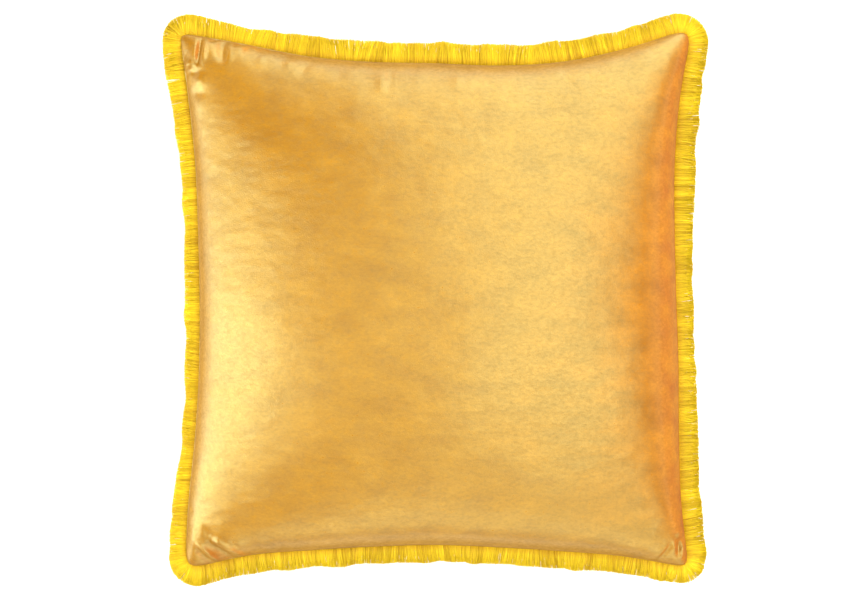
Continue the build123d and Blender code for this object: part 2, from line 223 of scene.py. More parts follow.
# Folds that the corners and the gathered edge take when the cover is sewn and stuffed, in millimetres
# from the middle of the view: where each starts and ends, how high it stands (negative for a valley),
# and how far it spreads to its -X side and to its +X side.
FOLDS = (
    # top left: a narrow pleat, a broad pleat beside it, a dog-ear at the side seam and a soft roll below
    (-198.9, 224, -200.9, 199, -3.6, 1.9, 1.6), (-203.8, 222, -205.4, 201, 1.8, 3.0, 2.0),
    (-195.7, 222, -197.6, 199, 2.3, 1.8, 2.8), (-208.5, 193.6, -200.0, 193.0, -2.2, 2.3, 2.3),
    (-178.2, 222, -178.8, 198, -2.7, 7.5, 1.9), (-174.5, 221, -175.0, 200, 1.2, 2.2, 6.0),
    (-214.5, 198, -206.5, 204.0, 3.2, 3.4, 3.4), (-213.5, 193, -205.0, 198, -1.2, 2.0, 2.0),
    (-206.0, 185, -195.0, 188, 1.9, 6.0, 6.0), (-209.0, 176.5, -194.0, 175.5, -1.3, 3.6, 3.6),
    (-170.5, 217, -160.5, 213, 1.3, 2.4, 2.4), (-150.0, 207, -144.0, 203, 0.8, 3.0, 3.0),
    (-128.0, 199, -118.0, 204, 1.1, 3.0, 3.0), (-106.0, 202, -114.0, 191, -0.7, 3.0, 3.0),
    # along the top
    (-42.0, 199, -44.0, 171, 0.9, 4.6, 2.6), (-37.5, 199, -40.0, 174, -0.7, 2.2, 3.4),
    (20.0, 197, 17.0, 178, 0.7, 4.0, 4.0), (26.0, 197, 23.0, 180, -0.5, 3.2, 3.2),
    (106.0, 205, 102.0, 184, 0.7, 4.2, 4.2), (112.0, 206, 108.0, 188, -0.5, 3.0, 3.0),
    (-21.0, 137, 39.0, 125, -0.4, 3.4, 3.4), (186.0, 214, 180.0, 206, -0.9, 3.5, 3.5),
    # bottom left: folds that fan out of the corner
    (-205.5, -190, -205.0, -220, 1.6, 2.6, 3.2), (-203.5, -205.7, -184.3, -223.9, 4.4, 2.0, 2.4),
    (-203.0, -210.8, -188.0, -224.4, -4.0, 3.8, 1.8), (-190.6, -203.0, -162.3, -219.7, 4.2, 2.1, 3.8),
    (-194.5, -203.8, -168.5, -221.2, -4.6, 4.8, 2.2), (-197.5, -187, -187.5, -207, -2.4, 4.5, 3.0),
    (-184.0, -182, -178.0, -200, 1.3, 6.0, 9.0), (-171.0, -204, -162.0, -211, 1.2, 2.0, 3.0),
    (-154.0, -207, -136.0, -212, 0.9, 3.0, 4.0), (-96.0, -170, -82.0, -206, 0.6, 4.5, 4.5),
    # bottom right: a small pleat from the side seam and a fine crease to the bottom seam
    (213.0, -199.2, 204.8, -201.6, 2.2, 1.6, 1.6), (203.2, -204.5, 205.6, -217, 2.3, 2.6, 1.7),
    (208.2, -204.0, 207.8, -217, -3.0, 2.6, 1.9), (212.4, -208.5, 210.6, -221.5, 2.4, 2.2, 1.7),
    (202.4, -205.5, 190.6, -222.5, -1.3, 1.6, 1.8), (199.0, -206, 187.6, -221.5, 1.0, 2.4, 1.6),
)


FOLD_FADE = 2.5 * MM  # the folds fade out over this much beside the seam
FOLD_END, FOLD_POWER = 0.03, 0.8  # a fold's profile is a sine, cut short and raised to a power


def folds(plan):
    """The height of the folds over the panel, which is nothing at the seam itself."""
    x, y = plan[..., 0] / MM, plan[..., 1] / MM
    total = np.zeros_like(x)
    for from_x, from_y, to_x, to_y, height, to_left, to_right in FOLDS:
        span = np.array([to_x - from_x, to_y - from_y])
        along = np.clip(((x - from_x) * span[0] + (y - from_y) * span[1]) / (span @ span), 0, 1)
        away = np.hypot(x - from_x - along * span[0], y - from_y - along * span[1])
        width = np.where(x < from_x + along * span[0], to_left, to_right)
        profile = np.sin(math.pi * np.clip(along, FOLD_END, 1 - FOLD_END)) ** FOLD_POWER
        total += height * np.exp(-((away / width) ** 2)) * profile
    inset = np.minimum.reduce([ACROSS * WIDTH, (1 - ACROSS) * WIDTH,
                               UPWARD * LENGTH, (1 - UPWARD) * LENGTH])
    return total * np.clip(inset / FOLD_FADE, 0, 1) * MM


def gathers():
    """The cloth's slack along its columns and along its rows, over the grid."""
    strength = {name: curve_through(values, ACROSS if name in ("top", "bottom") else UPWARD)
                for name, values in GATHER.items()}
    near = {"bottom": UPWARD * LENGTH, "top": (1 - UPWARD) * LENGTH,
            "left": ACROSS * WIDTH, "right": (1 - ACROSS) * WIDTH}
    slack = {name: strength[name] * np.exp(-near[name] / GATHER_FADE) for name in GATHER}
    return slack["bottom"] + slack["top"], slack["left"] + slack["right"]


# Each kind of thread link: rows and columns from one end to the other, and its stiffness. The long
# ones resist bending.
LINKS = (((0, 1), 0.5), ((1, 0), 0.5), ((1, 1), 0.3), ((1, -1), 0.3), ((0, 2), 0.2), ((2, 0), 0.2),
         ((0, 4), 0.05), ((4, 0), 0.05))


def link_ends(down, over):
    """Slices of a grid's first and second ends of every link of one kind."""
    first_rows, second_rows = slice(0, -down or None), slice(down, None)
    first_columns = slice(max(0, -over), -over if over > 0 else None)
    second_columns = slice(max(0, over), over if over < 0 else None)
    return (first_rows, first_columns), (second_rows, second_columns)


PUSH = 3e-7  # how far the filling's pressure moves the cloth outward in one step
KEPT_SPEED = 0.95  # the share of its speed that the cloth keeps from step to step
FILLING_GAP = 1.5 * MM  # the filling starts this far inside the cloth's first shape
STEPS = 500


def settle(start, steps, outward, ground):
    """Relaxes a panel sewn in place at its edge: links keep their length, and the filling pushes out."""
    along, up = gathers()
    rests = []
    for (down, over), stiffness in LINKS:
        first, second = link_ends(down, over)
        share = down**2 / (down**2 + over**2)
        slack = 1 + share * up[first] + (1 - share) * along[first]
        rest = np.linalg.norm(start[second] - start[first], axis=-1) * slack
        rests.append((first, second, rest, stiffness))
    loose = np.ones(start.shape[:2], bool)
    loose[[0, -1]] = loose[:, [0, -1]] = False
    filling = start[..., 2] - outward * FILLING_GAP
    points, speed = start.copy(), np.zeros_like(start)
    for _ in range(steps):
        moved = points + speed * KEPT_SPEED + normals_of(points) * outward * PUSH
        for first, second, rest, stiffness in rests:
            span = moved[second] - moved[first]
            length = np.linalg.norm(span, axis=-1)
            shift = span * (0.5 * stiffness * (1 - rest / length))[..., None]
            moved[first] += shift
            moved[second] -= shift
        moved[..., 2] = outward * np.maximum(outward * moved[..., 2], outward * filling)
        if ground is not None:
            moved[..., 2] = np.maximum(moved[..., 2], ground)
        moved[~loose] = start[~loose]
        speed = moved - points
        points = moved
    return points


BUMP_BLUR = 0.4  # of a bump's width


def unevenness(width, seed):
    """Smooth random heights over the panel, about 1 high, with bumps about a width across."""
    size = 256
    field = np.random.default_rng(seed).normal(size=(size, size))
    frequency = np.fft.fftfreq(size, WIDTH / size)
    squared = frequency[:, None] ** 2 + frequency[None] ** 2
    damping = np.exp(-2 * (math.pi * width * BUMP_BLUR) ** 2 * squared)
    smooth = np.fft.ifft2(np.fft.fft2(field) * damping).real
    smooth /= smooth.std()
    inside_last = size - 1.001
    x, y = ACROSS * inside_last, UPWARD * inside_last
    column, row = x.astype(int), y.astype(int)
    right, up = x - column, y - row
    low = smooth[row, column] * (1 - right) + smooth[row, column + 1] * right
    high = smooth[row + 1, column] * (1 - right) + smooth[row + 1, column + 1] * right
    return low * (1 - up) + high * up


# The unevenness of the filling: height and width in millimetres.
FINE_BUMPS, BROAD_BUMPS = (0.25, 9), (0.7, 60)
BUMP_RAMP = 4  # the bumps are at full height from where the crown is a quarter of its own
BACK_FULLNESS = 1.02  # the back's crown against the face's, before the ground flattens it


def panel_grid(outward, seed):
    """One panel, gathered and filled: outward is 1 for the face and -1 for the back."""
    plan = flat_panel()
    full = CROWN if outward > 0 else CROWN * BACK_FULLNESS
    height = crown(full) + HALF_HEADING
    inside = np.clip(crown(1.0) * BUMP_RAMP, 0, 1)
    fine = FINE_BUMPS[0] * unevenness(FINE_BUMPS[1] * MM, seed)
    broad = BROAD_BUMPS[0] * unevenness(BROAD_BUMPS[1] * MM, seed + 1)
    height = height + inside * (fine + broad) * MM
    if outward > 0:
        height = height + folds(plan)
    z = SEAM_Z + outward * height
    ground = cad_low[2] if outward < 0 else None
    if ground is not None:
        z = np.maximum(z, ground)
    start = np.concatenate([plan, z[..., None]], axis=-1)
    grid = settle(start, STEPS, outward, ground)
    if outward > 0:
        grid[..., 2] = SEAM_Z + (grid[..., 2] - SEAM_Z) * CROWN / (grid[..., 2].max() - SEAM_Z)
    return grid


ZIP_END = 10 * MM  # the edge comes down to the zip over this much at each end of the slot
ZIP_FADE = 14 * MM  # and its drop fades out into the panel over this much
ZIP_INWARD = 4.2 * MM  # how far the edge draws back from the seam to make the slot


def lower_for_zip(grid):
    """Drops the back panel's edge to the zip's lower tape, between the ends of the slot."""
    drop = (SEAM_Z - HALF_HEADING) - ZIP_LIP
    x, y = grid[..., 0], grid[..., 1]
    from_end = ZIP_HALF - np.abs(x)
    beside = np.clip(from_end / ZIP_END + 0.5, 0, 1)
    beside = beside**2 * (3 - 2 * beside)
    bottom = SEAM[CORNER_AT[0]:CORNER_AT[1]]
    seam_y = np.interp(x, bottom[:, 0], bottom[:, 1])
    inward = np.clip(y - seam_y, 0, None)
    fade = np.exp(-inward / ZIP_FADE)
    lowered = grid.copy()
    lowered[..., 2] = np.maximum(grid[..., 2] - drop * beside * fade, cad_low[2])
    lowered[..., 1] = y + ZIP_INWARD * beside * fade
    return lowered


# ---- meshes ----
def object_from(name, points, faces):
    mesh = bpy.data.meshes.new(name)
    mesh.from_pydata(np.asarray(points).tolist(), [], faces)
    mesh.update()
    mesh.polygons.foreach_set("use_smooth", [True] * len(mesh.polygons))
    obj = bpy.data.objects.new(name, mesh)
    bpy.context.collection.objects.link(obj)
    return obj


def grid_faces(rows, columns, first=0, flip=False, wrap=False):
    """Quads between the points of a grid. A wrapped grid closes on itself along its columns."""
    faces = []
    for j in range(rows - 1):
        for i in range(columns if wrap else columns - 1):
            after = (i + 1) % columns
            quad = (first + j * columns + i, first + j * columns + after,
                    first + (j + 1) * columns + after, first + (j + 1) * columns + i)
            faces.append(quad[::-1] if flip else quad)
    return faces


ALLOWANCE = (1.5, 4, 8)  # how far in from the seam the turned-in cloth has its points, in millimetres
VELVET_THICKNESS = 1.1 * MM


def panel_piece(name, grid, outward):
    """The panel's cloth with its seam allowance turned in, as a shell of the velvet's thickness."""
    rows, columns = grid.shape[:2]
    index = np.arange(rows * columns).reshape(rows, columns)
    rim = np.concatenate([index[0, :-1], index[:-1, -1], index[-1, :0:-1], index[:0:-1, 0]])
    points = grid.reshape(-1, 3)
    edge = points[rim]
    around = np.roll(edge, -1, axis=0) - np.roll(edge, 1, axis=0)
    inward = np.stack([-around[:, 1], around[:, 0], np.zeros(len(edge))], axis=1)
    inward /= np.linalg.norm(inward, axis=1)[:, None]
    turned = [edge + inward * depth * MM for depth in ALLOWANCE]
    faces = grid_faces(rows, columns, flip=outward < 0)
    loops = [rim.tolist()]
    for k in range(len(turned)):
        loops.append((len(points) + k * len(rim) + np.arange(len(rim))).tolist())
    for outer, inner in zip(loops, loops[1:]):
        for i in range(len(rim)):
            after = (i + 1) % len(rim)
            quad = (outer[i], inner[i], inner[after], outer[after])
            faces.append(quad if outward < 0 else quad[::-1])
    obj = object_from(name, np.concatenate([points, *turned]), faces)
    shell = obj.modifiers.new("velvet thickness", "SOLIDIFY")
    shell.thickness, shell.offset = VELVET_THICKNESS, -1
    return obj


NORMAL_BLUR = 5 * MM  # so that a band turns the corners without folding over


def swept_loop(name, insets, heights):
    """A closed band along the seam: at each place, a section of points given by inset and height."""
    count = insets.shape[0]
    place = np.arange(count) / count * SEAM_LENGTH
    root, normal = on_loop(SEAM, place), on_loop(blurred(OUTWARD, NORMAL_BLUR), place)
    xy = root[:, None] - normal[:, None] * insets[..., None]
    points = np.concatenate([xy, heights[..., None]], axis=-1)
    around = insets.shape[1]
    faces = []
    for j in range(count):
        for i in range(around):
            side, onward = (i + 1) % around, (j + 1) % count
            faces.append((j * around + i, j * around + side, onward * around + side, onward * around + i))
    return object_from(name, points.reshape(-1, 3), faces)


WEAVE_STEP = 1.6 * MM  # between places along the woven band
RIPPLE_TURN = 2.1  # radians of its ripple from each place to the next


def ring_piece(name, section, half, ripple):
    """A flat woven band in the seam, with the slight ripple of its weave, in millimetres."""
    count = round(SEAM_LENGTH / WEAVE_STEP)
    wave = ripple * np.sin(np.arange(count) * RIPPLE_TURN)[:, None]
    insets = np.array([inset for inset, _ in section])[None] * MM + np.zeros((count, 1))
    heights = SEAM_Z + (np.array([up for _, up in section])[None] * (half - ripple) + wave) * MM
    return swept_loop(name, insets, heights)


STITCH = 3 * MM
STITCH_STEPS, THREAD_SIDES = 6, 6  # places in each stitch, and points round the thread
STITCH_INSET, THREAD_RADIUS = 3.2, 0.2  # in millimetres
KNOT_LEVEL, STITCH_RISE = 0.15, 0.75  # of the heading's half thickness


def stitch_piece(name, side):
    """One thread of the lockstitch: it lies along the seam and goes down into it between stitches."""
    stitches = round(SEAM_LENGTH / STITCH)
    count = stitches * STITCH_STEPS
    rise = np.abs(np.sin(np.arange(count) * math.pi / STITCH_STEPS)) ** 0.5
    turn = np.arange(THREAD_SIDES) / THREAD_SIDES * 2 * math.pi
    insets = (STITCH_INSET + THREAD_RADIUS * np.cos(turn))[None] * MM + np.zeros((count, 1))
    level = side * (KNOT_LEVEL + STITCH_RISE * rise) * HALF_HEADING
    return swept_loop(name, insets, SEAM_Z + level[:, None] + THREAD_RADIUS * np.sin(turn)[None] * MM)


COIL_PITCH = 1.25 * MM
COIL_STEPS, FILAMENT_SIDES = 10, 5  # points in each turn, and round the filament
FILAMENT = 0.22 * MM  # its radius


def coil_piece(name, node, phase):
    """A zip coil: a nylon filament wound in turns along the chain's arc."""
    low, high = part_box(node)
    radius = (high.z - low.z) / 2
    centre_y = frame["record"]["behaviour"]["joints"][0]["pos_m"][1]
    bend = high.y - centre_y - radius
    half_angle = math.asin(high.x / (bend + radius))
    turns = round(2 * half_angle * bend / COIL_PITCH)
    count = turns * COIL_STEPS + 1
    along = np.linspace(-half_angle, half_angle, count)[:, None]
    wound = np.linspace(0, 2 * math.pi * turns, count)[:, None] + phase
    side = np.arange(FILAMENT_SIDES)[None] / FILAMENT_SIDES * 2 * math.pi
    reach = radius - FILAMENT + FILAMENT * np.cos(side)
    out = bend + reach * np.cos(wound)
    turned = along + FILAMENT * np.sin(side) / bend
    points = np.stack([out * np.sin(turned), centre_y + out * np.cos(turned),
                       (low.z + high.z) / 2 + reach * np.sin(wound)], axis=-1)
    faces = grid_faces(count, FILAMENT_SIDES, wrap=True)
    last = (count - 1) * FILAMENT_SIDES
    faces += [tuple(range(FILAMENT_SIDES))[::-1], tuple(last + i for i in range(FILAMENT_SIDES))]
    return object_from(name, points.reshape(-1, 3), faces)


# ---- the fringe ----
STRAND_SIDES, STRAND_RINGS = 3, 4
# The fringe's length past the seam in millimetres, at even steps along each edge, anticlockwise.
FRINGE_LENGTH = {
    "bottom": (17.5, 15.5, 14.8, 14.8, 14.2, 14.2, 14.8, 15.2, 15.5),
    "right": (16.5, 16.5, 16.5, 14.2, 14.0, 16.0, 17.5, 17.0, 16.8),
    "top": (16.6, 17.0, 17.0, 17.0, 17.5, 17.5, 18.0, 14.6, 18.5),
    "left": (16.8, 15.6, 12.6, 12.0, 12.6, 12, 11.4, 13.2, 15.5),
}
CORNER_REACH = 15 * MM  # each corner's own piece of fringe covers this much seam on either side
ROOT = 4 * MM  # the strands start this far inside the seam
LENGTH_BLUR, ROUGH_BLUR = 6 * MM, 5 * MM  # of the lengths above, and of their random unevenness
ROUGH_LENGTH = 0.55  # how high that unevenness is, in millimetres


def fringe_lengths():
    """The fringe's length at each point of the loop."""
    lengths = np.zeros(len(SEAM))
    for k, values in enumerate(FRINGE_LENGTH.values()):
        first = CORNER_AT[k]
        count = (CORNER_AT[(k + 1) % 4] - first) % len(SEAM)
        at = np.arange(count) / count
        lengths[(first + np.arange(count)) % len(SEAM)] = curve_through(values, at)
    rough = blurred(np.random.default_rng(3).normal(size=len(SEAM)), ROUGH_BLUR)
    return (blurred(lengths, LENGTH_BLUR) + ROUGH_LENGTH * rough / rough.std()) * MM


LENGTHS = fringe_lengths()

# Where the fringe parts: the corner, how far past it along the seam in millimetres, and how far the yarns on
# either side lean away.
PARTINGS = (
    (1, -9, 0.16), (1, 6, 0.14), (3, 40, 0.10), (3, 103, 0.12),
    (3, -34, 0.08), (0, 1, 0.06), (0, -22, 0.05),
)
PARTING_REACH = 3 * MM
DRIFT, DRIFT_BLUR = 0.085, 9 * MM  # the lean that the yarns share with their neighbours


def leaning():
    """How far the yarns lean along the seam, at each point of the loop."""
    drift = blurred(np.random.default_rng(5).normal(size=len(SEAM)), DRIFT_BLUR)
    lean = DRIFT * drift / drift.std()
    for corner, past, strength in PARTINGS:
        away = (np.arange(len(SEAM)) - CORNER_AT[corner]) * LOOP_STEP - past * MM
        away = (away + SEAM_LENGTH / 2) % SEAM_LENGTH - SEAM_LENGTH / 2
        lean += strength * np.sign(away) * np.exp(-np.abs(away) / PARTING_REACH)
    return lean


LEANS = leaning()
PLIES = 3
TUFTS = 600  # more than any piece of fringe has in one ply
TUFT_WIDTH = (2.0, 10.0)  # from and to, in millimetres
FIRST_TUFT = 12 * MM  # the tufts are laid out from this far before the piece
TUFT_LEAN, YARN_LEAN = 0.018, 0.02  # sideways, for each unit of length
TUFT_PULL = (0.0, 0.0, 0.05)  # how far a tuft's yarns close up: most don't
TUFT_TRIM, YARN_TRIM = (0.985, 1.015), 0.022  # of the fringe's length
PLY_HEIGHT, TUFT_HEIGHT, YARN_HEIGHT = 0.75, 0.3, 0.3  # in millimetres
TUFT_SHADE, YARN_SHADE = 0.45, 0.55
YARN_WAVE, YARN_SAG = 0.22, (0.3, 1.8)  # in millimetres
WAVE_TURN, LEAN_POWER = 5, 1.3  # radians of wave along a yarn, and how late along it the lean sets in
ROOT_JITTER = (0.15, 0.85)  # of the step from yarn to yarn
PLY_SPREAD = 0.7  # of the ply's height at the root, with as much again at the tip
YARN_RADIUS, YARN_TAPER = (0.20, 0.32), 0.25  # in millimetres, and the share lost at the tip


def strands(first, last, spacing, seed):
    """Cut yarns along the seam from one place to another, in plies that each lie in their own tufts."""
    rng = np.random.default_rng(seed)
    count = round((last - first) / spacing / PLIES)
    plies = []
    for level in np.linspace(-1, 1, PLIES):
        root_at = first + (np.arange(count) + rng.uniform(*ROOT_JITTER, count)) * (last - first) / count
        edges = np.cumsum(rng.uniform(*TUFT_WIDTH, TUFTS)) * MM + first - FIRST_TUFT
        tuft = np.searchsorted(edges, root_at)
        middle = (edges[tuft] + edges[tuft - 1]) / 2
        lean = on_loop(LEANS, root_at) + rng.normal(0, TUFT_LEAN, TUFTS + 1)[tuft]
        lean = lean + rng.normal(0, YARN_LEAN, count)
        pull = rng.choice(TUFT_PULL, TUFTS + 1)[tuft]
        trim = rng.uniform(*TUFT_TRIM, TUFTS + 1)[tuft] + rng.normal(0, YARN_TRIM, count)
        length = on_loop(LENGTHS, root_at) * trim
        sideways = lean * length + (middle - root_at) * pull
        height = level * PLY_HEIGHT + rng.normal(0, TUFT_HEIGHT, TUFTS + 1)[tuft]
        height = (height + rng.uniform(-YARN_HEIGHT, YARN_HEIGHT, count)) * MM
        shade = rng.uniform(0, 1, TUFTS + 1)[tuft] * TUFT_SHADE + rng.uniform(0, 1, count) * YARN_SHADE
        plies.append((root_at, length, sideways, height, shade))
    root_at, length, sideways, height, shade = (np.concatenate(values) for values in zip(*plies))
    count = len(root_at)
    normal, tangent, root = (on_loop(values, root_at) for values in (OUTWARD, TANGENT, SEAM))
    along = np.linspace(0, 1, STRAND_RINGS)[None, :]
    reach = -ROOT + (length + ROOT)[:, None] * along
    out = np.clip(reach, 0, None) / length[:, None]
    wave = rng.normal(0, YARN_WAVE, count)[:, None] * MM
    wave = wave * np.sin(along * WAVE_TURN + rng.uniform(0, 6, count)[:, None])
    aside = sideways[:, None] * out**LEAN_POWER + wave * out
    xy = root[:, None] + normal[:, None] * reach[..., None] + tangent[:, None] * aside[..., None]
    sag = rng.uniform(*YARN_SAG, count)[:, None] * MM
    z = SEAM_Z + height[:, None] * (PLY_SPREAD + PLY_SPREAD * out) - sag * out**2
    centre = np.concatenate([xy, z[..., None]], axis=-1)
    radius = (rng.uniform(*YARN_RADIUS, count)[:, None] * MM) * (1 - YARN_TAPER * out)
    return centre, radius, tangent, shade, out


def fringe_piece(name, first, last, spacing, seed):
    """A piece of fringe between two places. Its points carry their shade and place along the yarn."""
    centre, radius, tangent, shade, out = strands(first, last, spacing, seed)
    count = len(centre)
    twist = np.random.default_rng(seed).uniform(0, 6, count)[:, None]
    turn = np.arange(STRAND_SIDES) / STRAND_SIDES * 2 * math.pi + twist
    side = np.concatenate([tangent, np.zeros((count, 1))], axis=1)
    around = side[:, None] * np.cos(turn)[..., None] + np.array([0, 0, 1.0]) * np.sin(turn)[..., None]
    points = centre[:, :, None] + around[:, None] * radius[:, :, None, None]
    faces = []
    per = STRAND_RINGS * STRAND_SIDES
    one = grid_faces(STRAND_RINGS, STRAND_SIDES, wrap=True)
    one.append(tuple(range(STRAND_SIDES))[::-1])
    one.append(tuple(range(per - STRAND_SIDES, per)))
    for k in range(count):
        faces.extend(tuple(k * per + i for i in face) for face in one)
    obj = object_from(name, points.reshape(-1, 3), faces)
    outward = np.repeat(out, STRAND_SIDES, axis=1).ravel()
    for label, values in (("shade", np.repeat(shade, per)), ("along", outward)):
        attribute = obj.data.attributes.new(label, "FLOAT", "POINT")
        attribute.data.foreach_set("value", values.astype(np.float32))
    return obj


# ---- materials ----
def grey(value):
    return (value,) * 3


def material(name):
    mat = bpy.data.materials.new(name)
    mat.use_nodes = True
    nodes, links = mat.node_tree.nodes, mat.node_tree.links
    return mat, nodes, links, nodes["Principled BSDF"]


def noise(nodes, links, scale, detail=3.0, stretch=(1, 1, 1), roughness=0.55):
    """Noise over the object's own coordinates, in bumps per metre, which stretch multiplies by axis."""
    where = nodes.new("ShaderNodeTexCoord")
    mapping = nodes.new("ShaderNodeMapping")
    mapping.inputs["Scale"].default_value = stretch
    texture = nodes.new("ShaderNodeTexNoise")
    texture.inputs["Scale"].default_value = scale
    texture.inputs["Detail"].default_value = detail
    texture.inputs["Roughness"].default_value = roughness
    links.new(where.outputs["Object"], mapping.inputs["Vector"])
    links.new(mapping.outputs["Vector"], texture.inputs["Vector"])
    return texture.outputs["Fac"]


def ramp(nodes, links, value, stops):
    """A colour ramp: stops are (place, colour)."""
    node = nodes.new("ShaderNodeValToRGB")
    elements = node.color_ramp.elements
    while len(elements) < len(stops):
        elements.new(0.5)
    for element, (place, colour) in zip(elements, stops):
        element.position, element.color = place, (*colour, 1)
    links.new(value, node.inputs["Fac"])
    return node.outputs["Color"]


def mixed(nodes, links, blend_type, factor, a, b):
    node = nodes.new("ShaderNodeMix")
    node.data_type, node.blend_type = "RGBA", blend_type
    if isinstance(factor, float):
        node.inputs["Factor"].default_value = factor
    else:
        links.new(factor, node.inputs["Factor"])
    links.new(a, node.inputs["A"])
    links.new(b, node.inputs["B"])
    return node.outputs["Result"]


def bumped(nodes, links, height, strength, distance, normal=None):
    node = nodes.new("ShaderNodeBump")
    node.inputs["Strength"].default_value = strength
    node.inputs["Distance"].default_value = distance
    links.new(height, node.inputs["Height"])
    if normal is not None:
        links.new(normal, node.inputs["Normal"])
    return node.outputs["Normal"]


def turned_to_right(nodes, links, mottle):
    """How far the cloth turns towards +X, from 0 at the level to 1, in mottled patches; it sets where the
    velvet has painted shade.
    """
    geometry = nodes.new("ShaderNodeNewGeometry")
    local = nodes.new("ShaderNodeVectorTransform")
    local.vector_type, local.convert_from, local.convert_to = "NORMAL", "WORLD", "OBJECT"
    parts = nodes.new("ShaderNodeSeparateXYZ")
    links.new(geometry.outputs["Normal"], local.inputs["Vector"])
    links.new(local.outputs["Vector"], parts.inputs["Vector"])
    patchy = nodes.new("ShaderNodeMath")
    patchy.operation = "MULTIPLY_ADD"
    patchy.inputs[1].default_value = 0.5
    links.new(mottle, patchy.inputs[0])
    links.new(parts.outputs["X"], patchy.inputs[2])
    spread = nodes.new("ShaderNodeMapRange")
    spread.interpolation_type = "SMOOTHSTEP"
    spread.inputs["From Min"].default_value, spread.inputs["From Max"].default_value = 0.31, 0.96
    links.new(patchy.outputs["Value"], spread.inputs["Value"])
    return spread.outputs["Result"]


def velvet():
    """Golden crushed velvet with a mottled nap and a broad sheen: gold, with painted shade in deeper orange
    where it turns to +X.
    """
    mat, nodes, links, shader = material("golden velvet")
    nap = noise(nodes, links, 62, 4, (0.55, 1, 1), 0.6)
    crush = noise(nodes, links, 95, 1, (0.6, 1, 1), 0.5)
    pile = noise(nodes, links, 1200, 2, (0.8, 1, 1), 0.7)
    speckle = noise(nodes, links, 430, 3, (0.6, 1, 1), 0.75)
    patches = noise(nodes, links, 12, 2, (0.7, 1, 1))
    gold = ramp(nodes, links, nap, ((0.3, (0.214, 0.080, 0.0005)), (0.7, (0.284, 0.118, 0.002))))
    # painted shade: a deeper orange base colour for where the cloth turns to +X
    painted_shade_orange = ramp(nodes, links, nap, ((0.3, (0.290, 0.062, 0.0002)), (0.7, (0.395, 0.124, 0.0005))))
    turned = turned_to_right(nodes, links, nap)
    # the painted shade is mixed in by how far the cloth turns to +X
    colour = mixed(nodes, links, "MIX", turned, gold, painted_shade_orange)
    grain = ramp(nodes, links, speckle, ((0.3, (0.74, 0.73, 0.7)), (0.7, (1.2, 1.2, 1.2))))
    links.new(mixed(nodes, links, "MULTIPLY", 0.8, colour, grain), shader.inputs["Base Color"])
    shine = ramp(nodes, links, speckle, ((0.3, grey(0.46)), (0.7, grey(0.27))))
    facing = nodes.new("ShaderNodeLayerWeight")
    facing.inputs["Blend"].default_value = 0.5
    dulled = ramp(nodes, links, facing.outputs["Facing"], ((0.13, (0, 0, 0)), (0.27, grey(0.6))))
    edge_on = ramp(nodes, links, facing.outputs["Facing"], ((0.33, (0, 0, 0)), (0.65, grey(0.55))))
    duller = mixed(nodes, links, "ADD", turned, shine, dulled)
    links.new(mixed(nodes, links, "ADD", 1.0, duller, edge_on), shader.inputs["Roughness"])
    soft = bumped(nodes, links, patches, 1.0, 1.5 * MM)
    crushed = bumped(nodes, links, crush, 1.0, 0.5 * MM, soft)
    links.new(bumped(nodes, links, pile, 0.8, 0.2 * MM, crushed), shader.inputs["Normal"])
    shader.inputs["IOR"].default_value = 1.85
    shader.inputs["Specular Tint"].default_value = (0.91, 1.0, 0.43, 1)
    return mat


def yarn(name, dark, light):
    """Fringe yarn: each strand has its own shade, and painted shade deepens it towards the root."""
    mat, nodes, links, shader = material(name)
    shade, along = nodes.new("ShaderNodeAttribute"), nodes.new("ShaderNodeAttribute")
    shade.attribute_name, along.attribute_name = "shade", "along"
    colour = ramp(nodes, links, shade.outputs["Fac"], ((0.1, dark), (0.9, light)))
    # painted shade: the yarn is darker towards the root, beside the seam
    root = ramp(nodes, links, along.outputs["Fac"], ((0.0, (0.84, 0.68, 0.5)), (0.35, (1, 1, 1))))
    twist = ramp(nodes, links, noise(nodes, links, 1500, 2), ((0.3, grey(0.88)), (0.7, (1, 1, 1))))
    with_painted_root_shade = mixed(nodes, links, "MULTIPLY", 1.0, colour, root)
    links.new(mixed(nodes, links, "MULTIPLY", 0.7, with_painted_root_shade, twist), shader.inputs["Base Color"])
    shader.inputs["Roughness"].default_value = 0.6
    shader.inputs["Specular IOR Level"].default_value = 0.25
    return mat


def woven(name, dark, light, scale=900, roughness=0.75):
    """A plain woven or spun cloth, with its threads as fine noise in the colour and the surface."""
    mat, nodes, links, shader = material(name)
    thread = noise(nodes, links, scale, 3, (1, 0.35, 1))
    links.new(ramp(nodes, links, thread, ((0.3, dark), (0.7, light))), shader.inputs["Base Color"])
    links.new(bumped(nodes, links, thread, 0.5, 0.2 * MM), shader.inputs["Normal"])
    shader.inputs["Roughness"].default_value = roughness
    return mat


def lacquered(name, dark, light, roughness, metallic=0.0):
    """Painted metal or moulded plastic, with slight wear and handling marks."""
    mat, nodes, links, shader = material(name)
    wear = noise(nodes, links, 260, 4)
    links.new(ramp(nodes, links, wear, ((0.35, dark), (0.65, light))), shader.inputs["Base Color"])
    rough = ramp(nodes, links, wear, ((0.3, grey(roughness)), (0.8, grey(roughness + 0.15))))
    links.new(rough, shader.inputs["Roughness"])
    links.new(bumped(nodes, links, noise(nodes, links, 1800, 2), 0.15, 0.05 * MM), shader.inputs["Normal"])
    shader.inputs["Metallic"].default_value = metallic
    return mat


def paint(obj, mat):
    obj.data.materials.clear()
    obj.data.materials.append(mat)


